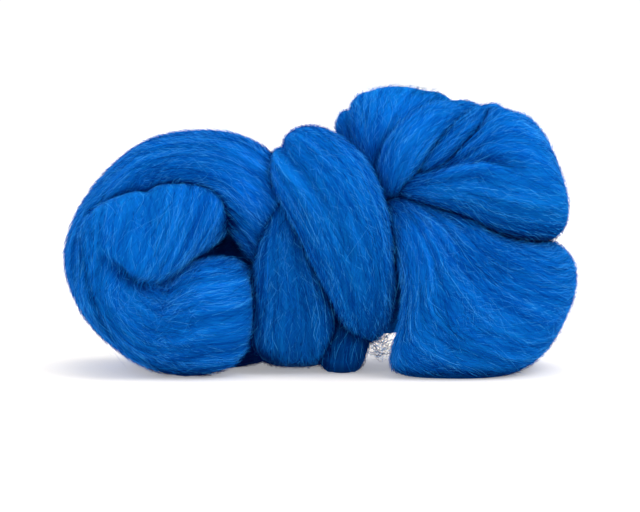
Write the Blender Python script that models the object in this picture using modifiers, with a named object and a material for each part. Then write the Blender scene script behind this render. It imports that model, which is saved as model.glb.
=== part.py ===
"""A bundle of combed wool roving: one thick, soft strand coiled into a ball, lashed round the waist and
fanned out again into loops.

Metres, +Z up.  The bundle stands on z = 0 with its length along X and its front towards -Y.  The strand is
drawn as its visible runs.  Each run is a closed lobe that follows a short table of stations, the runs press
into each other as they do in the hand, and their common skin is the one solid of the bundle.
"""

import math
from collections import namedtuple

import bmesh
import bpy
import numpy as np
from mathutils import Vector

# ---------------------------------------------------------------- driving sizes
MM = 0.001
SKIN_VOXEL = 0.0019        # grid on which the runs are merged into one skin
SKIN_TRIANGLES = 11400     # triangles left on the finished skin
ROUND_END = 0.07           # share of a run's length over which each end rounds off
FULLNESS = 0.82            # 1 gives a run an oval section, less makes it fuller at the shoulders
CENTRING = (-0.54, -0.19)  # moves the middle of the bundle's box over the origin, in millimetres
ROVING_BLUE = (0.010, 0.105, 0.520, 1.0)
FLOOR_BLOCK = 0.4          # side of the block that cuts the flat foot

# A station is a point of a run's centre line, in millimetres, with the run's half-width across the front
# view, its half-thickness towards the outside, and the lean of its wide side from +X towards +Z, in degrees.
Station = namedtuple("Station", "x y z wide thick lean")

# A fold is a crease along a run: where it lies round the run (0 and 180 are the two edges, 90 the outer
# face), how far it spreads, both in degrees, its depth in millimetres, and the share of the run it covers.
Fold = namedtuple("Fold", "angle spread depth start end")

# A twist turns a run's fibres and folds round it, by an angle in degrees between two shares of its length.
Twist = namedtuple("Twist", "turn start end")

# A tuck is a crease across a run's front, where the strand turns under itself: its depth, its reach to
# either side and how far its upper side swells (its lower one, if negative), all in millimetres, and the
# x and z of the points that it runs through.
Tuck = namedtuple("Tuck", "depth reach swell line")

RUNS = {
    # the loop that goes round the outside of the ball
    "outer_loop": [
        Station(-8, 6, 44, 9, 8, 55),
        Station(-18, -2, 55, 16, 13, 58),
        Station(-24, -6, 66.8, 17.6, 16, 64),
        Station(-33, -5, 75.8, 16.2, 18, 72),
        Station(-46, -1, 78.5, 15.5, 21, 88),
        Station(-63.5, 5, 73.5, 16.6, 25, 106),
        Station(-80, 8, 61, 13.5, 27, 142),
        Station(-87, 9, 45, 13.4, 29, 180),
        Station(-81.8, 9, 27.1, 13, 28.5, 205),
        Station(-70.1, 8, 16.7, 13, 27.5, 235),
        Station(-55, 7, 11, 13, 27, 262),
        Station(-36, 7, 12, 12.5, 19, 272),
        Station(-20, 7, 16, 12, 15, 280),
        Station(-8, 3, 20, 8, 12, 285),
    ],
    # the strand that comes over the top of the ball, turns in the front and goes back to the waist
    "curl": [
        Station(-62, 12, 60, 20, 9, 14),
        Station(-64, -6, 62, 25.5, 11, 14),
        Station(-64, -18, 57, 29.2, 17, 11),
        Station(-68.5, -24, 47.5, 24.5, 18, 6),
        Station(-74.6, -24, 35, 17.8, 18, 15),
        Station(-69.7, -23, 26.6, 17, 18, 45),
        Station(-62.2, -22, 21.5, 18.3, 18, 72),
        Station(-50, -22, 22, 22, 18.5, 84),
        Station(-41, -21.5, 23.5, 21.8, 18, 88),
        Station(-34.5, -13, 25.5, 19, 10.5, 91),
        Station(-27, 3, 26, 10, 8, 94),
    ],
    # the inner turn of the ball, seen from behind
    "inner_turn": [
        Station(-32, 14, 52, 9, 14, 80),
        Station(-46, 20, 61, 12, 18, 100),
        Station(-61, 23, 60, 13, 18, 125),
        Station(-72, 24, 47, 13, 18, 180),
        Station(-63, 24, 33, 13, 18, 235),
        Station(-48, 22, 32, 13, 17, 280),
        Station(-36, 18, 40, 9, 12, 320),
    ],
    # the wrap that lashes the waist: up the back, over the top and slanting down the front
    "waist_wrap": [
        Station(14, 6, 12, 5, 6, 0),
        Station(13, 24, 20, 11, 12, 4),
        Station(9, 30, 38, 15, 14, 8),
        Station(3, 29, 58, 17, 15, 18),
        Station(-2, 20, 77, 16.5, 13, 37),
        Station(-6, 6, 82.5, 12.5, 10, 44),
        Station(-7.6, -6, 84, 12.3, 9.5, 46),
        Station(-3.5, -18, 81, 16, 13.5, 46),
        Station(5.5, -25, 69.5, 18.5, 17, 40),
        Station(12.5, -25.5, 52, 17, 17.5, 30),
        Station(16.5, -20, 35, 13, 16, 17),
        Station(18.5, -11, 22, 9, 12, 9),
        Station(18.5, -2, 14, 4, 6, 4),
    ],
    # the turn under the wrap, down the front, under the foot and up the back
    "under_wrap": [
        Station(-12, -2, 72, 5, 6, 0),
        Station(-13, -12, 61, 7, 9, 0),
        Station(-12, -15.5, 46, 12, 12, 0),
        Station(-10.5, -16, 30, 15.5, 12.5, 0),
        Station(-10, -14.5, 17, 17, 12.5, 0),
        Station(-9, -6, 12, 17, 10.5, 0),
        Station(-9, 9, 10, 16, 10, 0),
        Station(-10, 22, 16, 16, 13, 0),
        Station(-11, 27, 34, 16, 13, 0),
        Station(-12, 26, 54, 14, 13, 0),
        Station(-12, 12, 70, 8, 8, 0),
    ],
    # the tucked end below the wrap
    "tucked_end": [
        Station(12, -4, 23, 4, 5, 0),
        Station(12.5, -11, 16, 8.5, 8, 0),
        Station(9.5, -13.5, 9, 9, 9, 0),
        Station(9, -7, 6.5, 8.5, 8, 0),
        Station(8, 10, 7, 8, 7, 0),
    ],
    # the big lower loop of the fan: out along the front and back along the rear
    "lower_loop": [
        Station(25, -6, 66, 5, 7, 56),
        Station(35.5, -17, 58.2, 11.3, 13, 64),
        Station(41.5, -21, 47.6, 19.1, 18, 67),
        Station(43.3, -22, 33.6, 32.3, 19.5, 62),
        Station(54, -22, 27, 32, 20.5, 60),
        Station(70, -20, 24.5, 29.5, 20, 62),
        Station(80.2, -9, 27, 26.2, 17.5, 65),
        Station(80.2, 9, 26.6, 25, 17.5, 66),
        Station(70, 20, 23.5, 27, 19, 64),
        Station(56, 22, 24, 29.5, 19, 56),
        Station(44, 20, 38, 23, 17, 54),
        Station(34, 14, 55, 12, 12, 54),
        Station(25, 4, 64, 5, 6, 56),
    ],
    # the upper loop of the fan
    "upper_loop": [
        Station(27, -6, 72, 4, 6, 96),
        Station(39, -16, 73.5, 6, 11, 98),
        Station(49, -20, 75, 10, 15, 94),
        Station(60, -20, 76.5, 17.5, 16.5, 91),
        Station(71, -18, 78.2, 25.3, 17.5, 98),
        Station(79.6, -9, 75.3, 26, 14.8, 112),
        Station(80, 8, 76, 25, 14.2, 104),
        Station(71, 18, 76.5, 24, 16, 92),
        Station(57, 21, 75, 18, 16, 90),
        Station(43, 17, 74, 11, 13, 88),
        Station(28, 5, 71, 5, 7, 88),
    ],
    # two narrow folds that climb from the waist and go over the upper loop
    "first_fold": [
        Station(27, -4, 68, 4, 6, 170),
        Station(29.5, -16, 77, 7, 9, 166),
        Station(33.5, -20, 87, 8.5, 11, 156),
        Station(41, -17, 94.3, 8.5, 11, 145),
        Station(50, -8, 97.7, 8, 9.5, 140),
        Station(59, 4, 95.8, 7.5, 9, 142),
        Station(65, 20, 86, 6, 8, 160),
    ],
    "second_fold": [
        Station(30, -4, 71, 3, 5, 150),
        Station(40.5, -16, 80, 4.5, 8, 140),
        Station(48, -19, 87.5, 5.5, 9, 138),
        Station(57.5, -14, 94.2, 6, 9, 134),
        Station(66.5, -2, 97, 6.5, 8.5, 134),
        Station(72, 12, 90, 5, 7, 140),
    ],
    # the loop that stands up behind the waist
    "back_loop": [
        Station(23, -2, 70, 4, 6, 180),
        Station(22.5, -8, 82, 6.5, 8, 178),
        Station(25.5, -8, 94, 12.5, 9, 176),
        Station(32.8, 2, 101.6, 20.2, 9.6, 178),
        Station(34, 16, 96, 18, 11, 178),
        Station(31, 25, 84, 14, 11, 180),
        Station(24, 20, 70, 7, 8, 180),
    ],
    "back_tuft": [
        Station(18, 4, 82, 4, 5, 160),
        Station(13, 4, 91, 5, 5, 150),
        Station(12, 11, 96.5, 5, 5, 160),
        Station(15, 20, 94, 5, 5, 170),
        Station(18, 24, 84, 4, 5, 180),
    ],
    # the runs hidden at the heart of the bundle
    "heart": [
        Station(-74, 6, 47, 14, 12, 90),
        Station(-50, 12, 45, 20, 8, 90),
        Station(-34, 13, 47, 18, 8, 90),
        Station(-16, 3, 47, 22, 16, 90),
        Station(6, 2, 45, 26, 22, 90),
        Station(30, 2, 44, 30, 18, 90),
        Station(60, 0, 50, 22, 13, 90),
        Station(76, 0, 51, 12, 8, 90),
    ],
}

FOLDS = {
    "outer_loop": [
        Fold(60, 10, 2.0, 0.15, 0.62),
        Fold(122, 9, 1.6, 0.20, 0.85),
        Fold(25, 8, 1.4, 0.10, 0.45),
    ],
    "curl": [
        Fold(118, 8, 1.4, 0.50, 0.92),
        Fold(66, 7, 1.2, 0.30, 0.70),
        Fold(140, 8, 1.6, 0.42, 0.90),
    ],
    "waist_wrap": [
        Fold(97, 8, 3.0, 0.42, 0.80),
        Fold(76, 9, 1.8, 0.08, 0.42),
    ],
    "lower_loop": [
        Fold(22, 5, 2.2, 0.08, 0.42),
        Fold(36, 5, 2.4, 0.05, 0.36),
        Fold(55, 5, 2.0, 0.05, 0.32),
        Fold(69, 5, 2.4, 0.06, 0.44),
        Fold(90, 6, 1.4, 0.12, 0.44),
        Fold(112, 6, 1.4, 0.14, 0.46),
        Fold(115, 7, 2.6, 0.60, 0.92),
        Fold(150, 7, 2.2, 0.60, 0.90),
    ],
    "upper_loop": [
        Fold(40, 7, 1.8, 0.10, 0.42),
        Fold(86, 7, 1.4, 0.12, 0.42),
        Fold(132, 8, 2.2, 0.62, 0.92),
    ],
    "back_loop": [
        Fold(52, 12, 1.2, 0.10, 0.60),
        Fold(112, 12, 1.2, 0.30, 0.90),
    ],
}

TWISTS = {
    "lower_loop": Twist(35, 0.10, 0.46),
    "upper_loop": Twist(42, 0.22, 0.52),
}

TUCKS = {
    "curl": [
        Tuck(6.5, 2.6, 2.4, ((-84, 50), (-80, 46), (-76, 42.4), (-72, 39.3), (-66, 37.3), (-60, 37.6), (-54, 41))),
        Tuck(1.6, 3.0, 0.6, ((-65, 84), (-66.5, 73), (-68, 65), (-68.5, 56))),
    ],
    "upper_loop": [
        Tuck(4.6, 3.0, -3.0, ((34, 73), (42, 79), (49, 83), (56, 85), (63, 85.5), (71, 83.5), (80, 79), (90, 72))),
    ],
}

ROUND_FACES = 144          # faces round and along each run before the runs are merged
LENGTH_FACES = 120
SWELL_SPREAD = 5.0         # how far from a tuck its swollen side stands highest, in millimetres
TUCK_ENDS = 0.30           # share of a tuck's line over which it fades out at each end
STEP_AHEAD = 0.025         # share of a run's length that is looked ahead and back to find its heading
DEEPEST_FOLD = 0.3         # a fold never goes in further than this share of the way from the middle


# ---------------------------------------------------------------- the strand
def along(stations, places):
    """The stations' columns at each place, 0 to 1 by length, on a smooth curve through the stations."""
    rows = np.array(stations, float)
    steps = np.linalg.norm(np.diff(rows[:, :3], axis=0), axis=1)
    reach = np.concatenate([[0.0], np.cumsum(steps)])
    slopes = np.empty_like(rows)
    slopes[1:-1] = (rows[2:] - rows[:-2]) / (reach[2:] - reach[:-2])[:, None]
    slopes[0] = (rows[1] - rows[0]) / steps[0]
    slopes[-1] = (rows[-1] - rows[-2]) / steps[-1]
    at = np.clip(places, 0, 1) * reach[-1]
    piece = np.clip(np.searchsorted(reach, at, side="right") - 1, 0, len(steps) - 1)
    gap = steps[piece][:, None]
    t = ((at - reach[piece]) / steps[piece])[:, None]
    return (
        (2 * t**3 - 3 * t**2 + 1) * rows[piece]
        + (t**3 - 2 * t**2 + t) * gap * slopes[piece]
        + (3 * t**2 - 2 * t**3) * rows[piece + 1]
        + (t**3 - t**2) * gap * slopes[piece + 1]
    )


def full(share):
    """A sine or cosine pushed outwards, which squares the shoulders of an oval a little."""
    return np.sign(share) * np.abs(share) ** FULLNESS


def twist_angle(name, places):
    """The degrees by which a run's fibres have turned round it at each place."""
    twist = TWISTS.get(name, Twist(0, 0, 1))
    share = np.clip((places - twist.start) / (twist.end - twist.start), 0, 1)
    return twist.turn * share**2 * (3 - 2 * share)


def crease_depth(name, angles, places):
    """How far a run's folds press its surface in, in millimetres."""
    depth = np.zeros_like(angles)
    for fold in FOLDS.get(name, []):
        off = (angles - twist_angle(name, places) - fold.angle + 180) % 360 - 180
        share = np.clip((places - fold.start) / (fold.end - fold.start), 0, 1)
        depth += fold.depth * np.exp(-((off / fold.spread) ** 2)) * np.sin(math.pi * share)
    return depth


def tuck_depth(name, points, facing):
    """How far a run's tucks press in at points in millimetres; facing is 1 at the front, -1 at the back."""
    depth = np.zeros(len(points))
    for tuck in TUCKS.get(name, []):
        away = np.full(len(points), np.inf)
        share = np.zeros(len(points))
        for k, (start, end) in enumerate(zip(tuck.line, tuck.line[1:])):
            step_x, step_z = end[0] - start[0], end[1] - start[1]
            off_x, off_z = points[:, 0] - start[0], points[:, 2] - start[1]
            t = np.clip((off_x * step_x + off_z * step_z) / (step_x**2 + step_z**2), 0, 1)
            side = np.sign(step_x * off_z - step_z * off_x)
            gap = side * np.hypot(off_x - t * step_x, off_z - t * step_z)
            closer = np.abs(gap) < np.abs(away)
            share = np.where(closer, (k + t) / (len(tuck.line) - 1), share)
            away = np.where(closer, gap, away)
        fade = np.clip(np.minimum(share, 1 - share) / TUCK_ENDS, 0, 1)
        swollen = np.sign(tuck.swell) * away / SWELL_SPREAD
        swell = abs(tuck.swell) * np.clip(swollen, 0, None) * np.exp(1 - np.clip(swollen, 0, None))
        depth += fade * (tuck.depth * np.exp(-((away / tuck.reach) ** 2)) - swell)
    return depth * np.clip(2 * facing, 0, 1)


def surface(name, angles, places):
    """Points on a run's surface, in metres, at angles round it and places along it."""
    stations = RUNS[name]
    rows = along(stations, places)
    heading = along(stations, places + STEP_AHEAD)[:, :3] - along(stations, places - STEP_AHEAD)[:, :3]
    lean = np.radians(rows[:, 5])
    wide_axis = np.stack([np.cos(lean), np.zeros_like(lean), np.sin(lean)], axis=1)
    out_axis = np.cross(heading, wide_axis)
    out_axis /= np.linalg.norm(out_axis, axis=1)[:, None]
    from_end = np.minimum(places, 1 - places)
    rounding = np.sqrt(1 - (1 - np.clip(from_end / ROUND_END, 0, 1)) ** 2)
    across = full(np.cos(np.radians(angles))) * rows[:, 3]
    outward = full(np.sin(np.radians(angles))) * rows[:, 4]
    spoke = wide_axis * across[:, None] + out_axis * outward[:, None]
    size = np.maximum(np.linalg.norm(spoke, axis=1), 1e-6)
    pressed = crease_depth(name, angles, places)
    pressed += tuck_depth(name, rows[:, :3] + spoke, -spoke[:, 1] / size)
    kept = rounding * np.maximum(1 - pressed / size, DEEPEST_FOLD)
    return (rows[:, :3] + spoke * kept[:, None] + (*CENTRING, 0)) * MM


def run_mesh(name):
    """One run as a closed lobe: a UV sphere whose poles are the run's ends, drawn out along its stations."""
    shape = bmesh.new()
    bmesh.ops.create_uvsphere(shape, u_segments=ROUND_FACES, v_segments=LENGTH_FACES, radius=1.0)
    ball = np.array([v.co for v in shape.verts])
    places = np.arccos(np.clip(-ball[:, 2], -1, 1)) / math.pi
    angles = np.degrees(np.arctan2(ball[:, 1], ball[:, 0])) % 360
    points = surface(name, angles, places)
    for vertex, point in zip(shape.verts, points):
        vertex.co = point
    bmesh.ops.recalc_face_normals(shape, faces=shape.faces)
    mesh = bpy.data.meshes.new(name)
    shape.to_mesh(mesh)
    shape.free()
    return mesh


# ---------------------------------------------------------------- the solid
def clear_scene():
    for obj in list(bpy.data.objects):
        bpy.data.objects.remove(obj)


def collection(name):
    made = bpy.data.collections.new(name)
    bpy.context.scene.collection.children.link(made)
    return made


def wool_material():
    wool = bpy.data.materials.new("dyed_wool")
    wool.use_nodes = True
    shader = wool.node_tree.nodes["Principled BSDF"]
    shader.inputs["Base Color"].default_value = ROVING_BLUE
    shader.inputs["Roughness"].default_value = 0.9
    shader.inputs["Metallic"].default_value = 0.0
    shader.inputs["Sheen Weight"].default_value = 0.4
    return wool


def add(name, mesh, home):
    obj = bpy.data.objects.new(name, mesh)
    home.objects.link(obj)
    return obj


def evaluated_copy(obj, name):
    """The object's mesh with its modifiers worked out, as a new mesh."""
    bpy.context.view_layer.update()
    graph = bpy.context.evaluated_depsgraph_get()
    mesh = bpy.data.meshes.new_from_object(obj.evaluated_get(graph))
    mesh.name = name
    return mesh


def keep_outer_skin(mesh):
    """Deletes every loose shell but the largest, so that no pocket between the runs stays inside."""
    shape = bmesh.new()
    shape.from_mesh(mesh)
    left = set(shape.verts)
    shells = []
    while left:
        shell, todo = set(), [left.pop()]
        while todo:
            vertex = todo.pop()
            shell.add(vertex)
            for edge in vertex.link_edges:
                other = edge.other_vert(vertex)
                if other in left:
                    left.remove(other)
                    todo.append(other)
        shells.append(shell)
    shells.sort(key=len)
    pockets = [vertex for shell in shells[:-1] for vertex in shell]
    bmesh.ops.delete(shape, geom=pockets, context="VERTS")
    shape.to_mesh(mesh)
    shape.free()


def merged_runs(helpers):
    """All the runs in one mesh, merged into a single even skin."""
    together = bmesh.new()
    for name in RUNS:
        mesh = run_mesh(name)
        together.from_mesh(mesh)
        bpy.data.meshes.remove(mesh)
    mesh = bpy.data.meshes.new("runs")
    together.to_mesh(mesh)
    together.free()
    runs = add("runs", mesh, helpers)
    merge = runs.modifiers.new("merge", "REMESH")
    merge.mode = "VOXEL"
    merge.voxel_size = SKIN_VOXEL
    skin = evaluated_copy(runs, "roving")
    bpy.data.objects.remove(runs)
    keep_outer_skin(skin)
    return skin


def floor_block(helpers):
    """The block below z = 0 that gives the bundle the flat foot it settles on."""
    shape = bmesh.new()
    bmesh.ops.create_cube(shape, size=FLOOR_BLOCK)
    bmesh.ops.translate(shape, verts=shape.verts, vec=Vector((0, 0, -FLOOR_BLOCK / 2)))
    mesh = bpy.data.meshes.new("floor_block")
    shape.to_mesh(mesh)
    shape.free()
    block = add("floor_block", mesh, helpers)
    block.hide_render = True
    block.display_type = "WIRE"
    return block


def build():
    clear_scene()
    parts = collection("wool_roving")
    helpers = collection("cutters")
    skin = merged_runs(helpers)
    skin.materials.append(wool_material())
    skin.shade_smooth()
    roving = add("roving", skin, parts)

    thin = roving.modifiers.new("fewer faces", "DECIMATE")
    thin.ratio = SKIN_TRIANGLES / (2 * len(skin.polygons))

    foot = roving.modifiers.new("flat foot", "BOOLEAN")
    foot.operation = "DIFFERENCE"
    foot.object = floor_block(helpers)
    return roving


build()
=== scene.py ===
# A bundle of wool roving: one soft combed strand, coiled into a ball, lashed at the waist and fanned out.
# Each visible run of the strand is a piece of its own, and the loose fibres lie over them.
import math

import bmesh
import bpy
import numpy as np
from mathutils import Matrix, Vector
from mathutils.bvhtree import BVHTree


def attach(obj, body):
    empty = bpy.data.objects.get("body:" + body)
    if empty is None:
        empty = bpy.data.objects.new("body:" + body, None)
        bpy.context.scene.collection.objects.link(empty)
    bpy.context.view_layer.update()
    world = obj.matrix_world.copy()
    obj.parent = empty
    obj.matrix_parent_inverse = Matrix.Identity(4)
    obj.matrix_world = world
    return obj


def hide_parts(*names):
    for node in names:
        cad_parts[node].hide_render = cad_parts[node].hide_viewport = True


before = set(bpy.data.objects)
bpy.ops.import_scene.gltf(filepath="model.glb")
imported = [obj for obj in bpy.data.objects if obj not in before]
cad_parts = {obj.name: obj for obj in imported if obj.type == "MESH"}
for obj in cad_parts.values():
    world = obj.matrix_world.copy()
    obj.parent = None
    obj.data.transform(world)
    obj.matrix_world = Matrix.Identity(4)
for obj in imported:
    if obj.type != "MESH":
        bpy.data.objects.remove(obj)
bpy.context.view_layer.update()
print("frame loaded")

mm = 0.001
centring = (-0.54, -0.19)  # the same small shift as the solid has, in millimetres

section = {
    "fullness": 0.82,  # 1 gives a run an oval section, less fills its shoulders
    "roundEnd": 0.07,  # share of a run over which each end rounds off
    "ahead": 0.025,  # share of its length that is looked ahead and back to find its heading
    "thinnest": 0.3,  # share of its radius that a crease leaves, at the least
}

# A run of the strand, station by station along its middle, in millimetres:
# x, y, z, half-width across the front view, half-thickness outwards, lean of the wide side in degrees.
runs = {
    # the loop that goes round the outside of the ball
    "outerLoop": [
        (-8, 6, 44, 9, 8, 55),
        (-18, -2, 55, 16, 13, 58),
        (-24, -6, 66.8, 17.6, 16, 64),
        (-33, -5, 75.8, 16.2, 18, 72),
        (-46, -1, 78.5, 15.5, 21, 88),
        (-63.5, 5, 73.5, 16.6, 25, 106),
        (-80, 8, 61, 13.5, 27, 142),
        (-87, 9, 45, 13.4, 29, 180),
        (-81.8, 9, 27.1, 13, 28.5, 205),
        (-70.1, 8, 16.7, 13, 27.5, 235),
        (-55, 7, 11, 13, 27, 262),
        (-36, 7, 12, 12.5, 19, 272),
        (-20, 7, 16, 12, 15, 280),
        (-8, 3, 20, 8, 12, 285),
    ],
    # the strand that comes over the top of the ball, turns in the front and goes back to the waist
    "curl": [
        (-62, 12, 60, 20, 9, 14),
        (-64, -6, 62, 25.5, 11, 14),
        (-64, -18, 57, 29.2, 17, 11),
        (-68.5, -24, 47.5, 24.5, 18, 6),
        (-74.6, -24, 35, 17.8, 18, 15),
        (-69.7, -23, 26.6, 17, 18, 45),
        (-62.2, -22, 21.5, 18.3, 18, 72),
        (-50, -22, 22, 22, 18.5, 84),
        (-41, -21.5, 23.5, 21.8, 18, 88),
        (-34.5, -13, 25.5, 19, 10.5, 91),
        (-27, 3, 26, 10, 8, 94),
    ],
    # the inner turn of the ball, seen from behind
    "innerTurn": [
        (-32, 14, 52, 9, 14, 80),
        (-46, 20, 61, 12, 18, 100),
        (-61, 23, 60, 13, 18, 125),
        (-72, 24, 47, 13, 18, 180),
        (-63, 24, 33, 13, 18, 235),
        (-48, 22, 32, 13, 17, 280),
        (-36, 18, 40, 9, 12, 320),
    ],
    # the wrap that lashes the waist: up the back, over the top and slanting down the front
    "waistWrap": [
        (14, 6, 12, 5, 6, 0),
        (13, 24, 20, 11, 12, 4),
        (9, 30, 38, 15, 14, 8),
        (3, 29, 58, 17, 15, 18),
        (-2, 20, 77, 16.5, 13, 37),
        (-6, 6, 82.5, 12.5, 10, 44),
        (-7.6, -6, 84, 12.3, 9.5, 46),
        (-3.5, -18, 81, 16, 13.5, 46),
        (5.5, -25, 69.5, 18.5, 17, 40),
        (12.5, -25.5, 52, 17, 17.5, 30),
        (16.5, -20, 35, 13, 16, 17),
        (18.5, -11, 22, 9, 12, 9),
        (18.5, -2, 14, 4, 6, 4),
    ],
    # the turn under the wrap, down the front, under the foot and up the back
    "underWrap": [
        (-12, -2, 72, 5, 6, 0),
        (-13, -12, 61, 7, 9, 0),
        (-12, -15.5, 46, 12, 12, 0),
        (-10.5, -16, 30, 15.5, 12.5, 0),
        (-10, -14.5, 17, 17, 12.5, 0),
        (-9, -6, 12, 17, 10.5, 0),
        (-9, 9, 10, 16, 10, 0),
        (-10, 22, 16, 16, 13, 0),
        (-11, 27, 34, 16, 13, 0),
        (-12, 26, 54, 14, 13, 0),
        (-12, 12, 70, 8, 8, 0),
    ],
    # the tucked end below the wrap
    "tuckedEnd": [
        (12, -4, 23, 4, 5, 0),
        (12.5, -11, 16, 8.5, 8, 0),
        (9.5, -13.5, 9, 9, 9, 0),
        (9, -7, 6.5, 8.5, 8, 0),
        (8, 10, 7, 8, 7, 0),
    ],
    # the big lower loop of the fan: out along the front and back along the rear
    "lowerLoop": [
        (25, -6, 66, 5, 7, 56),
        (35.5, -17, 58.2, 11.3, 13, 64),
        (41.5, -21, 47.6, 19.1, 18, 67),
        (43.3, -22, 33.6, 32.3, 19.5, 62),
        (54, -22, 27, 32, 20.5, 60),
        (70, -20, 24.5, 29.5, 20, 62),
        (80.2, -9, 27, 26.2, 17.5, 65),
        (80.2, 9, 26.6, 25, 17.5, 66),
        (70, 20, 23.5, 27, 19, 64),
        (56, 22, 24, 29.5, 19, 56),
        (44, 20, 38, 23, 17, 54),
        (34, 14, 55, 12, 12, 54),
        (25, 4, 64, 5, 6, 56),
    ],
    # the upper loop of the fan
    "upperLoop": [
        (27, -6, 72, 4, 6, 96),
        (39, -16, 73.5, 6, 11, 98),
        (49, -20, 75, 10, 15, 94),
        (60, -20, 76.5, 17.5, 16.5, 91),
        (71, -18, 78.2, 25.3, 17.5, 98),
        (79.6, -9, 75.3, 26, 14.8, 112),
        (80, 8, 76, 25, 14.2, 104),
        (71, 18, 76.5, 24, 16, 92),
        (57, 21, 75, 18, 16, 90),
        (43, 17, 74, 11, 13, 88),
        (28, 5, 71, 5, 7, 88),
    ],
    # two narrow folds that climb from the waist and go over the upper loop
    "firstFold": [
        (27, -4, 68, 4, 6, 170),
        (29.5, -16, 77, 7, 9, 166),
        (33.5, -20, 87, 8.5, 11, 156),
        (41, -17, 94.3, 8.5, 11, 145),
        (50, -8, 97.7, 8, 9.5, 140),
        (59, 4, 95.8, 7.5, 9, 142),
        (65, 20, 86, 6, 8, 160),
    ],
    "secondFold": [
        (30, -4, 71, 3, 5, 150),
        (40.5, -16, 80, 4.5, 8, 140),
        (48, -19, 87.5, 5.5, 9, 138),
        (57.5, -14, 94.2, 6, 9, 134),
        (66.5, -2, 97, 6.5, 8.5, 134),
        (72, 12, 90, 5, 7, 140),
    ],
    # the loop that stands up behind the waist
    "backLoop": [
        (23, -2, 70, 4, 6, 180),
        (22.5, -8, 82, 6.5, 8, 178),
        (25.5, -8, 94, 12.5, 9, 176),
        (32.8, 2, 101.6, 20.2, 9.6, 178),
        (34, 16, 96, 18, 11, 178),
        (31, 25, 84, 14, 11, 180),
        (24, 20, 70, 7, 8, 180),
    ],
    "backTuft": [
        (18, 4, 82, 4, 5, 160),
        (13, 4, 91, 5, 5, 150),
        (12, 11, 96.5, 5, 5, 160),
        (15, 20, 94, 5, 5, 170),
        (18, 24, 84, 4, 5, 180),
    ],
    # the runs hidden at the heart of the bundle
    "heart": [
        (-74, 6, 47, 14, 12, 90),
        (-50, 12, 45, 20, 8, 90),
        (-34, 13, 47, 18, 8, 90),
        (-16, 3, 47, 22, 16, 90),
        (6, 2, 45, 26, 22, 90),
        (30, 2, 44, 30, 18, 90),
        (60, 0, 50, 22, 13, 90),
        (76, 0, 51, 12, 8, 90),
    ],
}

# Creases along a run: where round it (0 and 180 are its edges, 90 its outer face), spread in degrees,
# depth in millimetres, and the share of the run from start to end.
folds = {
    "outerLoop": [
        (60, 10, 2.0, 0.15, 0.62),
        (122, 9, 1.6, 0.20, 0.85),
        (25, 8, 1.4, 0.10, 0.45),
    ],
    "curl": [
        (118, 8, 1.4, 0.50, 0.92),
        (66, 7, 1.2, 0.30, 0.70),
        (140, 8, 1.6, 0.42, 0.90),
    ],
    "waistWrap": [
        (97, 8, 3.0, 0.42, 0.80),
        (76, 9, 1.8, 0.08, 0.42),
    ],
    "lowerLoop": [
        (22, 5, 2.2, 0.08, 0.42),
        (36, 5, 2.4, 0.05, 0.36),
        (55, 5, 2.0, 0.05, 0.32),
        (69, 5, 2.4, 0.06, 0.44),
        (90, 6, 1.4, 0.12, 0.44),
        (112, 6, 1.4, 0.14, 0.46),
        (115, 7, 2.6, 0.60, 0.92),
        (150, 7, 2.2, 0.60, 0.90),
    ],
    "upperLoop": [
        (40, 7, 1.8, 0.10, 0.42),
        (86, 7, 1.4, 0.12, 0.42),
        (132, 8, 2.2, 0.62, 0.92),
    ],
    "backLoop": [
        (52, 12, 1.2, 0.10, 0.60),
        (112, 12, 1.2, 0.30, 0.90),
    ],
}

# A twist turns a run's fibres and folds round it, by an angle in degrees between two shares of its length.
twists = {
    "lowerLoop": (35, 0.10, 0.46),
    "upperLoop": (42, 0.22, 0.52),
}

# the x and z of the points that the longer tucks run through, in millimetres
underTip = ((-84, 50), (-80, 46), (-76, 42.4), (-72, 39.3), (-66, 37.3), (-60, 37.6), (-54, 41))
downEdge = ((-91, 63), (-91, 50), (-89.5, 42), (-88, 33), (-85.4, 27), (-82, 20.5), (-78, 13), (-74, 8))
overLoop = ((34, 73), (42, 79), (49, 83), (56, 85), (63, 85.5), (71, 83.5), (80, 79), (90, 72))

# A tuck is a crease across a run's front, where the strand turns under itself: its depth, its reach to
# either side and how far its upper side swells (its lower one, if negative), all in millimetres, and its
# points.
tucks = {
    "curl": [
        (6.5, 2.6, 2.4, underTip),
        (1.6, 1.5, 0, downEdge),
        (1.6, 3.0, 0.6, ((-65, 84), (-66.5, 73), (-68, 65), (-68.5, 56))),
    ],
    "upperLoop": [
        (4.6, 3.0, -3.0, overLoop),
    ],
}


def bell(away, reach):
    # 1 where away is 0, and fading on either side of it
    return np.exp(-((away / reach) ** 2))


def along(stations, places):
    # the stations' columns at places 0 to 1, by length, on a smooth curve
    rows = np.array(stations, float)
    steps = np.linalg.norm(np.diff(rows[:, :3], axis=0), axis=1)
    reach = np.concatenate([[0.0], np.cumsum(steps)])
    slopes = np.empty_like(rows)
    slopes[1:-1] = (rows[2:] - rows[:-2]) / (reach[2:] - reach[:-2])[:, None]
    slopes[0] = (rows[1] - rows[0]) / steps[0]
    slopes[-1] = (rows[-1] - rows[-2]) / steps[-1]
    at = np.clip(places, 0, 1) * reach[-1]
    piece = np.clip(np.searchsorted(reach, at, side="right") - 1, 0, len(steps) - 1)
    gap = steps[piece][:, None]
    t = ((at - reach[piece]) / steps[piece])[:, None]
    return (
        (2 * t**3 - 3 * t**2 + 1) * rows[piece]
        + (t**3 - 2 * t**2 + t) * gap * slopes[piece]
        + (3 * t**2 - 2 * t**3) * rows[piece + 1]
        + (t**3 - t**2) * gap * slopes[piece + 1]
    )


def lengthOf(name):
    points = along(runs[name], np.linspace(0, 1, 60))[:, :3]
    return float(np.linalg.norm(np.diff(points, axis=0), axis=1).sum())


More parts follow.
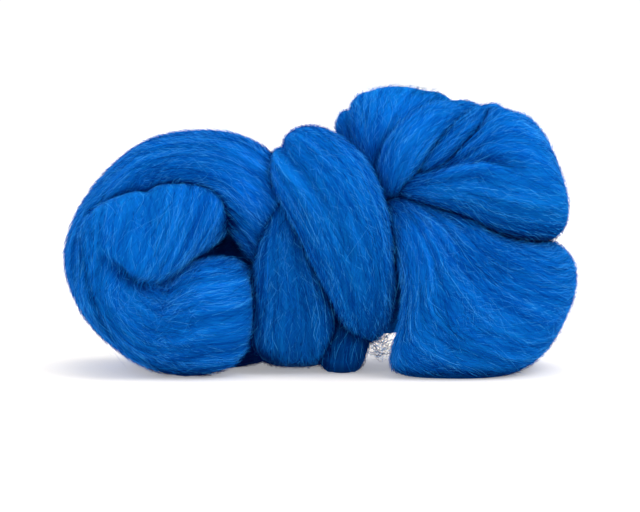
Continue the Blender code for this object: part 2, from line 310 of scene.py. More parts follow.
def girth(name, places):
    rows = along(runs[name], places)
    return 2 * math.pi * np.sqrt((rows[:, 3] ** 2 + rows[:, 4] ** 2) / 2)


def full(share):
    return np.sign(share) * np.abs(share) ** section["fullness"]


def twistAngle(name, places):
    # the degrees by which a run's fibres have turned round it at each place
    turn, start, end = twists.get(name, (0, 0, 1))
    share = np.clip((places - start) / (end - start), 0, 1)
    return turn * share**2 * (3 - 2 * share)


tuckForm = {
    "spread": 5.0,  # how far from a tuck its swollen side stands highest, in millimetres
    "ends": 0.30,  # share of a tuck's line over which it fades out at each end
}


def tuckDepth(name, points, facing):
    # how far a run's tucks press in at points in millimetres; facing is 1 at the front, -1 at the back
    depth = np.zeros(len(points))
    for deep, reach, raised, line in tucks.get(name, []):
        away = np.full(len(points), np.inf)
        share = np.zeros(len(points))
        for k, (start, end) in enumerate(zip(line, line[1:])):
            stepX, stepZ = end[0] - start[0], end[1] - start[1]
            offX, offZ = points[:, 0] - start[0], points[:, 2] - start[1]
            t = np.clip((offX * stepX + offZ * stepZ) / (stepX**2 + stepZ**2), 0, 1)
            side = np.sign(stepX * offZ - stepZ * offX)
            gap = side * np.hypot(offX - t * stepX, offZ - t * stepZ)
            closer = np.abs(gap) < np.abs(away)
            share = np.where(closer, (k + t) / (len(line) - 1), share)
            away = np.where(closer, gap, away)
        fade = np.clip(np.minimum(share, 1 - share) / tuckForm["ends"], 0, 1)
        swollen = np.clip(np.sign(raised) * away / tuckForm["spread"], 0, None)
        swell = abs(raised) * swollen * np.exp(1 - swollen)
        depth += fade * (deep * bell(away, reach) - swell)
    return depth * np.clip(2 * facing, 0, 1)


def creaseDepth(name, angles, places):
    depth = np.zeros_like(angles)
    for angle, spread, deep, start, end in folds.get(name, []):
        off = (angles - twistAngle(name, places) - angle + 180) % 360 - 180
        share = np.clip((places - start) / (end - start), 0, 1)
        depth += deep * bell(off, spread) * np.sin(math.pi * share)
    return depth


lay = {
    "ridges": 30,  # waves laid over each run
    "height": 0.06,  # of the ridges that the combed fibres form, in millimetres
    "drift": 22,  # degrees by which a ridge wanders from one end of a run to the other
    "coarsest": 7,  # ridges round a run, at the fewest
    "finest": 60,
    "bands": (5, 8, 11, 14, 18, 23, 29, 36),  # darker and lighter bands round a run
}


def ripple(rng, angles, places, count):
    # count waves round a run, which wander a little and fade in and out along it
    phase, swing, beat, start = rng.uniform(0, 2 * math.pi, 4)
    wander = lay["drift"] * np.sin(places * (1 + swing) + beat)
    fade = 0.5 + 0.5 * np.sin(places * (6 + 5 * swing) + start)
    return fade * np.sin(np.radians(angles + wander) * count + phase)


def ridgeHeight(name, angles, places):
    # soft ridges that follow the fibres, in millimetres
    rng = np.random.default_rng(sum(map(ord, name)))
    height = np.zeros_like(angles)
    angles = angles - twistAngle(name, places)
    for _ in range(lay["ridges"]):
        count = rng.integers(lay["coarsest"], lay["finest"])
        height += ripple(rng, angles, places, count) * (14 / (8 + count))
    return height * lay["height"] / math.sqrt(lay["ridges"] / 8)


def bandTone(name, angles, places):
    # soft bands along the fibres, from -1 where the wool is darker to 1 where it is lighter
    rng = np.random.default_rng(sum(map(ord, name)) + 5)
    tone = np.zeros_like(angles)
    angles = angles - twistAngle(name, places)
    for count in lay["bands"]:
        tone += ripple(rng, angles, places, count)
    return np.clip(tone / 1.8, -1, 1)


def runPoints(name, angles, places):
    # points on a run's surface in metres, at angles round it in degrees and places along it from 0 to 1
    rows = along(runs[name], places)
    ahead = along(runs[name], places + section["ahead"])[:, :3]
    heading = ahead - along(runs[name], places - section["ahead"])[:, :3]
    lean = np.radians(rows[:, 5])
    wideAxis = np.stack([np.cos(lean), np.zeros_like(lean), np.sin(lean)], axis=1)
    outAxis = np.cross(heading, wideAxis)
    outAxis /= np.linalg.norm(outAxis, axis=1)[:, None]
    fromEnd = np.minimum(places, 1 - places)
    rounding = np.sqrt(1 - (1 - np.clip(fromEnd / section["roundEnd"], 0, 1)) ** 2)
    across = full(np.cos(np.radians(angles))) * rows[:, 3]
    outward = full(np.sin(np.radians(angles))) * rows[:, 4]
    spoke = wideAxis * across[:, None] + outAxis * outward[:, None]
    size = np.maximum(np.linalg.norm(spoke, axis=1), 1e-6)
    change = ridgeHeight(name, angles, places) - creaseDepth(name, angles, places)
    change -= tuckDepth(name, rows[:, :3] + spoke, -spoke[:, 1] / size)
    kept = rounding * np.maximum(1 + change / size, section["thinnest"])
    points = (rows[:, :3] + spoke * kept[:, None] + (*centring, 0)) * mm
    points[:, 2] = np.maximum(points[:, 2], 0)  # the foot is pressed flat on the floor
    return points


class Value:
    # one socket, in an expression that adds Math nodes
    def __init__(self, finish, socket):
        self.finish = finish
        self.socket = socket

    def maths(self, operation, *others):
        return self.finish.node("ShaderNodeMath", {"operation": operation}, self, *others)

    def __add__(self, other):
        return self.maths("ADD", other)

    def __sub__(self, other):
        return self.maths("SUBTRACT", other)

    def __mul__(self, other):
        return self.maths("MULTIPLY", other)

    def __rsub__(self, other):
        return self.finish.node("ShaderNodeMath", {"operation": "SUBTRACT"}, other, self)

    __radd__ = __add__
    __rmul__ = __mul__


class Finish:
    # the nodes of a material or of the world, and the shader that they feed
    def __init__(self, owner, shader="Principled BSDF"):
        owner.use_nodes = True
        self.owner = owner
        self.tree = owner.node_tree
        self.shader = self.tree.nodes[shader]

    def node(self, kind, settings, *inputs, output=0, **named):
        made = self.tree.nodes.new(kind)
        for key, value in settings.items():
            if key == "stops":
                self.setStops(made.color_ramp, value)
            else:
                setattr(made, key, value)
        for key, value in enumerate(inputs):
            self.feed(made.inputs[key], value)
        for key, value in named.items():
            self.feed(made.inputs[key.replace("_", " ")], value)
        return Value(self, made.outputs[output])

    def mix(self, share, first, second):
        # a share under 0 takes the first colour further from the second
        settings = {"data_type": "RGBA", "clamp_factor": False}
        unused = [None] * 5  # the sockets for numbers and vectors
        return self.node("ShaderNodeMix", settings, share, *unused, first, (*second, 1), output=2)

    def setStops(self, ramp, stops):
        while len(ramp.elements) < len(stops):
            ramp.elements.new(0.5)
        for element, (place, colour) in zip(ramp.elements, stops):
            element.position = place
            element.color = (*colour, 1)

    def feed(self, socket, value):
        if isinstance(value, Value):
            self.tree.links.new(value.socket, socket)
        elif value is not None:
            socket.default_value = value

    def set(self, **values):
        for key, value in values.items():
            self.feed(self.shader.inputs[key.replace("_", " ")], value)


wool = {
    "shade": (0.0002, 0.005, 0.060),  # painted shade colour, deep in the folds
    "deep": (0.0004, 0.045, 0.300),  # between the fibres
    "mid": (0.0012, 0.106, 0.495),
    "bright": (0.0040, 0.200, 0.710),  # on top of them
    "tones": (0.15, 0.48, 0.85),  # where in the tone deep, mid and bright lie
    # noise along the fibres: how fine, its detail and roughness, and its share of the tone
    "streak": (1.3, 3.0, 0.55, 0.75),
    "band": (0.40, 2.0, 0.5, 0.60),
    "broad": (0.12, 2.0, 0.5, 0.65),
    "threadSize": 1.35,  # threads to a millimetre, roughly
    "threadSharpness": 7.0,
    "threadShare": 0.14,
    "darker": 0.51,  # taken off the tone
    "roughness": (0.70, 0.90),
    "sheen": 0.50,
    "sheenTint": (0.12, 0.50, 1.0, 1.0),
    "sheenRoughness": 0.25,
    "bump": 0.05,
    "bumpHeight": 0.0006,
    "depth": 0.0016,  # how far light wanders between the fibres, in metres
    "depthShare": 0.5,
    "depthTint": (0.3, 0.6, 1.0),
}


def woolFinish():
    finish = Finish(bpy.data.materials.new("dyedWool"))
    fields = {
        name: finish.node("ShaderNodeAttribute", {"attribute_name": name}, output=1)
        for name in ("flow", "leftFlow", "rightFlow")
    }

    def threads(field, size):
        # thin lines along the fibres, 1 on a line and 0 off it
        cloud = finish.node("ShaderNodeTexNoise", {}, field, Scale=size, Detail=1.5, Roughness=0.5)
        off = finish.node("ShaderNodeMath", {"operation": "ABSOLUTE"}, cloud - 0.5)
        line = 1 - off * wool["threadSharpness"]
        return finish.node("ShaderNodeMath", {"operation": "MAXIMUM"}, line, 0.0)

    def noise(size, detail, rough, share):
        flow = fields["flow"]
        cloud = finish.node("ShaderNodeTexNoise", {}, flow, Scale=size, Detail=detail, Roughness=rough)
        return cloud, cloud * share

    size = wool["threadSize"]
    light = threads(fields["leftFlow"], size) + threads(fields["rightFlow"], size * 1.15)
    streak, streakTone = noise(*wool["streak"])
    tone = streakTone + noise(*wool["band"])[1] + noise(*wool["broad"])[1]
    tone = tone + light * wool["threadShare"] - wool["darker"]
    stops = list(zip(wool["tones"], (wool["deep"], wool["mid"], wool["bright"])))
    colour = finish.node("ShaderNodeValToRGB", {"stops": stops}, tone)
    # painted shade and highlight: the colour goes towards the shade colour by the shade attribute, and
    # paler than itself where that is below 0
    shade = finish.node("ShaderNodeAttribute", {"attribute_name": "shade"}, output=2)
    colour = finish.mix(shade, colour, wool["shade"])
    low, high = wool["roughness"]
    rough = streak * (low - high) + high
    height = streak * 0.5 + light * 0.4
    bump = {"Strength": wool["bump"], "Distance": wool["bumpHeight"], "Height": height}
    normal = finish.node("ShaderNodeBump", {}, **bump)
    finish.set(Base_Color=colour, Roughness=rough, Normal=normal, Specular_IOR_Level=0.0)
    finish.set(Sheen_Weight=wool["sheen"], Sheen_Roughness=wool["sheenRoughness"])
    finish.set(Sheen_Tint=wool["sheenTint"])
    finish.set(Subsurface_Weight=wool["depthShare"], Subsurface_Scale=wool["depth"])
    finish.set(Subsurface_Radius=wool["depthTint"])
    return finish.owner


# from the darkest fibres to the palest; the first two are painted shade, for fibres that lie in shade
fibreTones = {
    "shadeFibre": (0.0002, 0.008, 0.080),  # painted shade, deep in the folds
    "dimFibre": (0.0004, 0.038, 0.230),
    "deepFibre": (0.0008, 0.072, 0.390),
    "midFibre": (0.0014, 0.120, 0.540),
    "brightFibre": (0.0050, 0.200, 0.690),
    "paleFibre": (0.0420, 0.350, 0.820),
}
fibreLook = {
    "roughness": 0.8,
    "glow": 0.10,  # painted glow: each fibre gives off a little light in its own colour, in place of light that passes through it from behind
}


def fibreFinish(name, colour):
    finish = Finish(bpy.data.materials.new(name))
    finish.set(Base_Color=(*colour, 1), Roughness=fibreLook["roughness"], Specular_IOR_Level=0.0)
    # painted glow in the fibre's own colour
    finish.set(Emission_Color=(*colour, 1), Emission_Strength=fibreLook["glow"])
    return finish.owner


body = {
    "faces": (0.95, 2.0),  # size of a face round a run and along it, in millimetres
    "curlFaces": (0.85, 1.1),  # finer where the strand turns sharply under itself
    "upperLoopFaces": (0.9, 1.4),
    "heartFaces": (3.0, 4.0),
    "coarseFaces": (1.8, 2.8),  # for measuring gaps
    "fewest": (24, 16),  # faces round a run and along it
    "streakLength": 15,  # how much longer than wide the streaks of the finish are
    "streakShift": 40,  # moves each run's streaks, so that no two runs have the same ones
    "flows": {"flow": 0, "leftFlow": -70, "rightFlow": 95},  # degrees they turn over 100 millimetres
}


# painted shade in the wool's base colour: how dark it is made in the gaps and creases between the runs,
# near the floor, low down and on sides turned to the floor; the bands are the wool's own darker tone
shading = {
    "gaps": (3.4, 1.1),  # gaps to the next run, in millimetres, at which its wide and close shade have gone
    "gapShares": (0.30, 0.72),  # how dark each of them is
    "gapReach": 7.48,  # no wider gap is measured
    "bandShare": 0.24,  # how dark the darker bands are
    "crease": 11.0,  # depth of a crease that is in full shade
    "floor": (4.0, 0.75),  # height over the floor at which its shade has mostly gone, and how dark it is
    "low": (15, 80),  # heights at which a run is darkest and no darker
    "lowShare": 0.08,  # how much darker a run is near the floor
    "lowRuns": {"waistWrap": 0.40, "underWrap": 0.34, "tuckedEnd": 0.55, "upperLoop": 0.90},
    "underShare": 0.12,  # how much darker a side is that is turned to the floor
    "underRuns": {"upperLoop": 0.50},
    "upShare": 0.5,  # how much less of its neighbours' shade a side has that is turned up
    # the runs that have less of it all over
    "thinRuns": {"firstFold": 0.6, "secondFold": 0.6, "backLoop": 0.7, "outerLoop": 0.75},
}

# painted shade in the deepest hollows between the runs: middle and reach in millimetres, and how dark the
# shade is
hollowShade = [
    (-38, -2, 51, 9, 1.0),
    (-37, -18, 64, 4, 0.6),
    (-34.5, -18.5, 59, 5, 0.75),
    (23, -16, 69, 6, 0.6),
    (27, -8, 28, 8, 0.5),
    (-27, -16, 13, 3.5, 0.8),
    (-25, -17, 8, 5, 0.95),
    (-20, -17, 4, 6, 0.9),
    (-29, -5, 3, 7, 0.9),
]

# painted highlights on the fullest places, where the most light falls: middle and reach in millimetres, and
# how much paler
paintedHighlights = [
    (-29, -23, 73, 13, 0.45),
    (-92, -20, 63, 9, 0.20),
    (42, -37, 54, 12, 0.26),
    (-41, -37, 36, 10, 0.12),
    (29, -18, 102, 12, 0.14),
    (37, -30, 95, 11, 0.12),
    (78, -32, 91, 13, 0.10),
]

# painted shade: a narrow dark line down the ball, where the curl bears on the outer loop
edge = {
    "reach": 2.0,
    "share": 0.38,
    "line": (
        (-91.7, -24.7, 59),
        (-91.4, -32.9, 49.6),
        (-90, -36.4, 41.5),
        (-88.3, -37.6, 33.1),
        (-85.9, -37.1, 26.6),
        (-82.8, -34.9, 20.3),
        (-79.7, -33.1, 14.9),
    ),
}
for start, end in zip(edge["line"], edge["line"][1:]):
    for share in (0.0, 0.33, 0.67):
        place = np.add(np.multiply(start, 1 - share), np.multiply(end, share))
        hollowShade.append((*place, edge["reach"], edge["share"]))


def addPiece(name, mesh, materials):
    obj = bpy.data.objects.new(name, mesh)
    bpy.context.scene.collection.objects.link(obj)
    for material in materials:
        obj.data.materials.append(material)
    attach(obj, "root")
    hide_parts("roving")


def ownShare(name):
    # a number from 0 to 1 that each run has for itself
    return (sum(ord(c) * (i + 3) for i, c in enumerate(name)) % 97) / 97


def faceCounts(name, acrossFace, alongFace):
    widest = girth(name, np.linspace(0, 1, 40)).max()
    fewestRound, fewestAlong = body["fewest"]
    return max(int(widest / acrossFace), fewestRound), max(int(lengthOf(name) / alongFace), fewestAlong)


def runMesh(name, acrossFace, alongFace, shaded=False):
    # a UV sphere whose poles are the run's ends, drawn out along its stations
    roundFaces, lengthFaces = faceCounts(name, acrossFace, alongFace)
    shape = bmesh.new()
    bmesh.ops.create_uvsphere(shape, u_segments=roundFaces, v_segments=lengthFaces, radius=1.0)
    ball = np.array([v.co for v in shape.verts])
    places = np.arccos(np.clip(-ball[:, 2], -1, 1)) / math.pi
    angles = np.degrees(np.arctan2(ball[:, 1], ball[:, 0])) % 360
    for vertex, point in zip(shape.verts, runPoints(name, angles, places)):
        vertex.co = point
    bmesh.ops.recalc_face_normals(shape, faces=shape.faces)
    if shape.calc_volume(signed=True) < 0:
        bmesh.ops.reverse_faces(shape, faces=shape.faces)
    mesh = bpy.data.meshes.new(name)
    shape.to_mesh(mesh)
    shape.free()
    mesh.shade_smooth()
    radius = girth(name, places).mean() / (2 * math.pi)
    length = lengthOf(name) * places
    for attribute, crossing in body["flows"].items():
        turn = np.radians(angles - twistAngle(name, places) + crossing * length / 100)
        streakPlace = length / body["streakLength"] + body["streakShift"] * ownShare(name)
        flow = np.stack([radius * np.cos(turn), radius * np.sin(turn), streakPlace], axis=1)
        made = mesh.attributes.new(attribute, "FLOAT_VECTOR", "POINT")
        made.data.foreach_set("vector", flow.ravel())
    if shaded:
        # the painted shade and highlight of each point, for the wool's colour
        points = np.array([v.co for v in mesh.vertices])
        upward = np.array([v.normal.z for v in mesh.vertices])
        crease = creaseShade(name, points, angles, places)
        shade = shadeOf(name, points, upward, crease, bandTone(name, angles, places))
        made = mesh.attributes.new("shade", "FLOAT", "POINT")
        made.data.foreach_set("value", shade)
    return mesh


def fromLowest(corners):
    first = corners.index(min(corners))
    return corners[first:] + corners[:first]


def coarseTree(name):
    # the sphere's faces come in another order each time, and sorted ones give the same fibres in every run
    mesh = runMesh(name, *body["coarseFaces"])
    points = np.array([v.co for v in mesh.vertices])
    faces = sorted(fromLowest(list(face.vertices)) for face in mesh.polygons)
    tree = BVHTree.FromPolygons([v.co for v in mesh.vertices], faces)
    bpy.data.meshes.remove(mesh)
    return tree, points.min(0), points.max(0)


trees = {name: coarseTree(name) for name in runs}


def gapsTo(points, own, reach):
    # the gap from each point to the nearest other run, in millimetres: negative inside one, at most reach
    gaps = np.full(len(points), float(reach))
    for name, (tree, low, high) in trees.items():
        if name == own:
            continue
        near = ((points > low - reach * mm) & (points < high + reach * mm)).all(axis=1)
        for k in np.flatnonzero(near):
            place, normal, _, away = tree.find_nearest(points[k], reach * mm * 4)
            if place is not None:
                inside = (Vector(points[k]) - place).dot(normal) < -0.3 * away
                gaps[k] = min(gaps[k], (-away if inside else away) / mm)
    return gaps


def creaseShade(name, points, angles, places):
    rows = along(runs[name], places)
    size = np.maximum(np.linalg.norm(points / mm - rows[:, :3], axis=1), 1e-6)
    facing = -(points[:, 1] / mm - rows[:, 1]) / size
    depth = creaseDepth(name, angles, places) + tuckDepth(name, points / mm - (*centring, 0), facing)
    return np.clip(depth / shading["crease"], 0, 1) ** 1.5


def nearTo(points, place, reach):
    return bell(np.linalg.norm(points / mm - place, axis=1), reach)


def shadeOf(name, points, upward, crease, tone):
    # how much painted shade each point takes, as how far in the shade of the bundle it lies: 1 is darkest,
    # and the painted highlights go below 0
    gaps = np.maximum(gapsTo(points, name, shading["gapReach"]), 0)
    clear = (1 - crease) * (1 - shading["bandShare"] * (0.5 - 0.5 * tone))
    weight = 1 - shading["upShare"] * np.clip(upward, 0, 1)
    weight *= shading["thinRuns"].get(name, 1)
    for gap, share in zip(shading["gaps"], shading["gapShares"]):
        clear = clear * (1 - share * bell(gaps, gap) * weight)
    height = points[:, 2] / mm
    floorReach, floorShare = shading["floor"]
    clear = clear * (1 - floorShare * bell(height, floorReach))
    darkest, clearest = shading["low"]
    low = np.clip((clearest - height) / (clearest - darkest), 0, 1)
    clear = clear * (1 - low * shading["lowRuns"].get(name, shading["lowShare"]))
    under = np.clip(-upward, 0, 1)
    clear = clear * (1 - under * shading["underRuns"].get(name, shading["underShare"]))
    # painted shade in the deepest hollows
    for *place, reach, share in hollowShade:
        clear = clear * (1 - share * nearTo(points, place, reach))
    # painted highlights make the colour paler
    for *place, reach, share in paintedHighlights:
        clear = clear * (1 + share * nearTo(points, place, reach))
    return 1 - clear


woolMaterial = woolFinish()
for name in runs:
    faces = body.get(name + "Faces", body["faces"])
    addPiece(name, runMesh(name, *faces, shaded=True), [woolMaterial])
print("runs laid")


# the runs that share a piece of fibres
groups = {
    "ball": ["outerLoop", "curl", "innerTurn"],
    "waist": ["waistWrap", "underWrap", "tuckedEnd"],
    "fan": ["lowerLoop", "upperLoop", "firstFold", "secondFold", "backLoop", "backTuft"],
}

# Fibres over the whole bundle, layer by layer. Length, lift over the surface, crimp to the side and radius
# are in millimetres. Slope is how far a fibre strays sideways as a share of its length, and free is the
# share that end off the surface. The tones are the shares of deep, mid, bright and pale fibres.
layers = {
    "laid": {
        "count": 7600,
        "points": 6,
        "length": (10, 34),
        "slope": 0.10,
        "lift": (0.04, 0.25),
        "free": 0.0,
        "crimp": 0.30,
        "radius": (0.07, 0.13),
        "sides": 2,
        "tones": (0.22, 0.44, 0.30, 0.04),
    },
    "crossing": {
        "count": 3600,
        "points": 6,
        "length": (5, 16),
        "slope": 0.26,
        "lift": (0.10, 0.6),
        "free": 0.20,
        "crimp": 0.5,
        "radius": (0.05, 0.08),
        "sides": 3,
        "tones": (0.05, 0.35, 0.45, 0.15),
    },
    "fuzz": {
        "count": 110000,
        "points": 3,
        "length": (1.4, 4.5),
        "slope": 0.38,
        "lift": (0.3, 1.7),
        "free": 1.0,
        "crimp": 0.4,
        "radius": (0.034, 0.052),
        "sides": 2,
        "tones": (0.10, 0.30, 0.35, 0.25),
    },
    "down": {
        "count": 90000,
        "points": 2,
        "length": (0.9, 2.4),
        "slope": 0.50,
        "lift": (0.4, 1.5),
        "free": 1.0,
        "crimp": 0.1,
        "radius": (0.036, 0.056),
        "sides": 2,
        "tones": (0.05, 0.25, 0.35, 0.35),
    },
    "stray": {
        "count": 1500,
        "points": 5,
        "length": (5, 12),
        "slope": 1.00,
        "lift": (1.0, 4.5),
        "free": 1.0,
        "crimp": 0.8,
        "radius": (0.030, 0.042),
        "sides": 3,
        "tones": (0.0, 0.3, 0.40, 0.30),
    },
}

combing = {
    "spare": 1.5,  # fibres drawn for each one that is wanted, as the buried ones are dropped
    "rooted": 0.04,  # how deep a fibre's ends sink into the run, in millimetres
    "buried": 0.3,  # depth in another run at which a fibre is dropped, in millimetres
    "overFloor": 0.3,  # a fibre's least height over the floor, in millimetres
    "bandPull": 0.22,  # how much the bands make the fibres on them darker or paler
    "shadePull": 1.2,  # painted shade: how much more often fibres are dark than the wool under them
    "highlightPull": 1.8,  # painted highlight: how much more often they are a tone paler where the wool is painted paler
}


def outwards(name, angles, places):
    # the surface's own direction outwards
    a = runPoints(name, angles + 2, places) - runPoints(name, angles - 2, places)
    b = runPoints(name, angles, places + 0.006) - runPoints(name, angles, places - 0.006)
    normal = np.cross(a, b)
    size = np.linalg.norm(normal, axis=1)
    return normal / np.maximum(size, 1e-12)[:, None]


def fibrePaths(rng, name, count, layer):
    # count fibres on one run, as points[fibre, point], and the tone of the band that each lies on
    points, slope = layer["points"], layer["slope"]
    length = rng.uniform(*layer["length"], count)
    start = rng.uniform(0.02, 0.98, count)
    angle = rng.uniform(0, 360, count)
    t = np.linspace(0, 1, points)[None, :]
    places = np.clip(start[:, None] + (t - 0.5) * (length / lengthOf(name))[:, None], 0.006, 0.994)
    radius = girth(name, start) / (2 * math.pi)
    sideways = rng.normal(0, slope, count) * length
    wave = layer["crimp"] * np.sin(t * rng.uniform(3, 9, (count, 1)) + rng.uniform(0, 6, (count, 1)))
    bow = rng.normal(0, 0.35 * slope, (count, 1)) * length[:, None] * (t - 0.5) ** 2 * 4
    shift = sideways[:, None] * (t - 0.5) + wave + bow
    angles = angle[:, None] + np.degrees(shift / radius[:, None])
    angles += twistAngle(name, places)
    rise = rng.uniform(*layer["lift"], (count, 1))
    loose = rng.random((count, 1)) < layer["free"]
    lift = np.where(loose, rise * t**1.1, rise * np.sin(math.pi * t)) - combing["rooted"]
    a, s = angles.ravel(), places.ravel()
    paths = runPoints(name, a, s) + outwards(name, a, s) * (lift.ravel() * mm)[:, None]
    middle = points // 2
    return paths.reshape(count, -1, 3), bandTone(name, angles[:, middle], places[:, middle])


def seenFibres(name, paths, bands):
    # drops the fibres that are mostly buried in other runs, and tells how far in the shade the rest lie
    middle = paths.shape[1] // 2
    gaps = [gapsTo(paths[:, k], name, 5.0) for k in {1, middle, paths.shape[1] - 2}]
    clearOfRuns = np.median(gaps, axis=0) > -combing["buried"]
    clearOfFloor = paths[:, :, 2].min(axis=1) > combing["overFloor"] * mm
    seen = clearOfRuns & clearOfFloor
    paths, bands = paths[seen], bands[seen]
    none = np.zeros(len(paths))
    return paths, bands, shadeOf(name, paths[:, middle], none, none, bands)


def fibreTone(rng, layer, bands, shades):
    # each fibre's place in fibreTones, drawn by its layer's shares, its band, and its painted shade or
    # highlight
    darkTones = len(fibreTones) - len(layer["tones"])
    lightness = np.clip(rng.random(len(bands)) + combing["bandPull"] * bands, 0, 0.999)
    tones = darkTones + np.searchsorted(np.cumsum(layer["tones"]), lightness, side="right")
    draws = rng.random(len(bands))
    paler = np.minimum(tones + (draws < -shades * combing["highlightPull"]), len(fibreTones) - 1)
    return np.where(draws < shades * combing["shadePull"], (shades < 0.5) * 1, paler)


def profileOf(name, sides):
    # the section of a fibre: a small polygon, or a flat strip when it has two sides
    data = bpy.data.curves.new(name, "CURVE")
    data.dimensions = "2D"
    outline = data.splines.new("POLY")
    outline.points.add(sides - 1)
    for k, point in enumerate(outline.points):
        turn = -2 * math.pi * k / sides
        point.co = (math.cos(turn), math.sin(turn), 0, 1)
    outline.use_cyclic_u = sides > 2
    return bpy.data.objects.new(name, data)


profiles = {sides: profileOf("section", sides) for sides in (2, 3)}


def tubes(name, paths, radii, tones, sides=3):
    # every path as a thin tube or strip that tapers to its ends
    curve = bpy.data.curves.new(name, "CURVE")
    for material in fibreMaterials:
        curve.materials.append(material)
    curve.dimensions = "3D"
    curve.bevel_mode = "OBJECT"
    curve.bevel_object = profiles[sides]
    curve.use_fill_caps = True
    for path, radius, tone in zip(paths, radii, tones):
        spline = curve.splines.new("POLY")
        spline.points.add(len(path) - 1)
        spline.points.foreach_set("co", np.column_stack([path, np.ones(len(path))]).ravel())
        taper = 0.25 + 0.75 * np.sin(np.linspace(0.08, 0.92, len(path)) * math.pi)
        if len(path) == 2:
            taper = np.array((1.0, 0.5))
        spline.points.foreach_set("radius", radius * mm * taper)
        if sides == 2:  # strips lie turned every way
            spline.points.foreach_set("tilt", np.full(len(path), 40 * radius / mm))
        spline.material_index = int(tone)
    obj = bpy.data.objects.new(name, curve)
    bpy.context.scene.collection.objects.link(obj)
    bpy.context.view_layer.update()
    graph = bpy.context.evaluated_depsgraph_get()
    mesh = bpy.data.meshes.new_from_object(obj.evaluated_get(graph))
    bpy.data.objects.remove(obj)
    return mesh


fibreMaterials = [fibreFinish(*item) for item in fibreTones.items()]
areas = {name: lengthOf(name) * girth(name, np.linspace(0, 1, 40)).mean() for name in runs}
combed = sum(areas[name] for names in groups.values() for name in names)
rng = np.random.default_rng(7)
for group, names in groups.items():
    for layerName, layer in layers.items():
        paths, bands, shades = [], [], []
        for name in names:
            tries = int(layer["count"] * combing["spare"] * areas[name] / combed)
            made = fibrePaths(rng, name, tries, layer)
            for kept, more in zip((paths, bands, shades), seenFibres(name, *made)):
                kept += list(more)
        radii = rng.uniform(*layer["radius"], len(paths))
        tones = fibreTone(rng, layer, np.array(bands), np.array(shades))
        piece = layerName + group.capitalize()
        addPiece(piece, tubes(piece, paths, radii, tones, layer["sides"]), [])
        print(piece, len(paths), "fibres")

# loose fibres that reach over the floor between the tucked end and the lower loop, in millimetres
looseFibres = {
    "count": 60,
    "points": 12,
    "from": ((16, -13, 8), (21, 2, 17)),  # corners of the box that they start in
    "to": ((26, -14, 5), (31, 2, 17)),
    "sag": 5.0,
    "curl": 1.6,
    "lowest": 0.35,
    "radius": (0.05, 0.10),
    "tones": (0, 1, 3, 5),  # places in fibreTones, the first two of them the painted shade tones
    "toneShares": (0.35, 0.25, 0.2, 0.2),
}
paths = []
t = np.linspace(0, 1, looseFibres["points"])[:, None]
for _ in range(looseFibres["count"]):
    start, end = rng.uniform(*looseFibres["from"]), rng.uniform(*looseFibres["to"])
    beat, turn = rng.uniform(5, 13), rng.uniform(0, 2 * math.pi, 3)
    wave = np.sin(t * beat + turn) * looseFibres["curl"] * rng.uniform(0.3, 1)
    sag = np.sin(math.pi * t) * (0, 0, looseFibres["sag"] * rng.random())
    path = start + (end - start) * t + wave - sag
    path[:, 2] = np.maximum(path[:, 2], looseFibres["lowest"])
    paths.append(path * mm)
tones = rng.choice(looseFibres["tones"], len(paths), p=looseFibres["toneShares"])
radii = rng.uniform(*looseFibres["radius"], len(paths))
addPiece("looseFan", tubes("looseFan", paths, radii, tones), [])
print("loose fibres laid")

studio = {
    "distance": 1.1,  # camera to the bundle's middle, in metres
    "elevation": 5.0,
    "aim": (0.0, 0.0, 0.0446),
    "frame": 640,  # pixels across
    "pixel": 0.000395,  # metres across one of them at the middle of the bundle
    "sensor": 36,
    # each light's place, the sides of its panel in metres, and its power
    "keyLight": ((0.60, -0.45, 0.95), (0.7, 0.6), 4),
    "topLight": ((0.10, 0.05, 1.2), (0.9, 0.9), 5),
    "lightAim": (0, 0, 0.05),
    "ambient": 0.80,
    "backdrop": 1.05,
}

floor = {
    "size": 4.0,  # from its middle to a side, in metres
    "colour": (0.96, 0.905, 0.82),
    "glow": (0.32, 0.60),  # painted light: the floor's own glow near the bundle and far from it, dimmer near it
    "glowFrom": 0.15,
    "glowTo": 0.60,
}


def turnTo(obj, place, aim):
    obj.location = place
    obj.rotation_mode = "QUATERNION"
    obj.rotation_quaternion = (Vector(aim) - Vector(place)).to_track_quat("-Z", "Y")


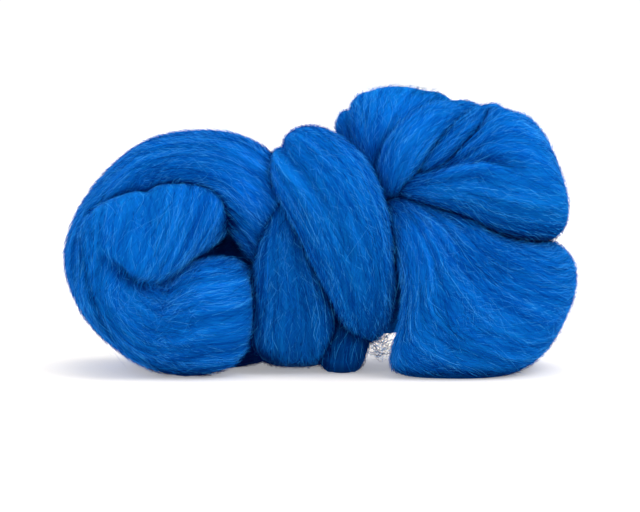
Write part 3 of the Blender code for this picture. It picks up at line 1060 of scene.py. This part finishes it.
def softbox(name, place, sides, power):
    data = bpy.data.lights.new(name, "AREA")
    data.shape = "RECTANGLE"
    data.size, data.size_y = sides
    data.energy = power
    obj = bpy.data.objects.new(name, data)
    bpy.context.scene.collection.objects.link(obj)
    turnTo(obj, place, studio["lightAim"])


def layFloor():
    shape = bmesh.new()
    bmesh.ops.create_grid(shape, x_segments=1, y_segments=1, size=floor["size"])
    mesh = bpy.data.meshes.new("floor")
    shape.to_mesh(mesh)
    shape.free()
    obj = bpy.data.objects.new("floor", mesh)
    bpy.context.scene.collection.objects.link(obj)
    finish = Finish(bpy.data.materials.new("floorPaper"))
    place = finish.node("ShaderNodeTexCoord", {}, output="Object")
    away = finish.node("ShaderNodeVectorMath", {"operation": "LENGTH"}, place, output="Value")
    span = (floor["glowFrom"], floor["glowTo"])
    glow = finish.node("ShaderNodeMapRange", {}, away, *span, *floor["glow"])
    finish.set(Base_Color=(*floor["colour"], 1), Roughness=0.9, Specular_IOR_Level=0.1)
    # painted light: the floor glows, less near the bundle than far from it
    finish.set(Emission_Color=glow, Emission_Strength=1.0)
    mesh.materials.append(finish.owner)


layFloor()
for name in ("keyLight", "topLight"):
    softbox(name, *studio[name])

world = bpy.data.worlds.new("studioWhite")
bpy.context.scene.world = world
sky = Finish(world, "Background")
seen = sky.node("ShaderNodeLightPath", {}, output="Is Camera Ray")
strength = sky.node("ShaderNodeMapRange", {}, seen, 0.0, 1.0, studio["ambient"], studio["backdrop"])
sky.set(Color=(1, 1, 1, 1), Strength=strength)

lens = bpy.data.cameras.new("camera")
camera = bpy.data.objects.new("camera", lens)
bpy.context.scene.collection.objects.link(camera)
tilt = math.radians(studio["elevation"])
back = Vector((0, -math.cos(tilt), math.sin(tilt)))
turnTo(camera, Vector(studio["aim"]) + back * studio["distance"], studio["aim"])
lens.sensor_width = studio["sensor"]
lens.lens = studio["sensor"] * studio["distance"] / (studio["frame"] * studio["pixel"])
lens.clip_start, lens.clip_end = 0.05, 20
bpy.context.scene.camera = camera
bpy.context.scene.view_settings.view_transform = "Standard"
print("studio lit")
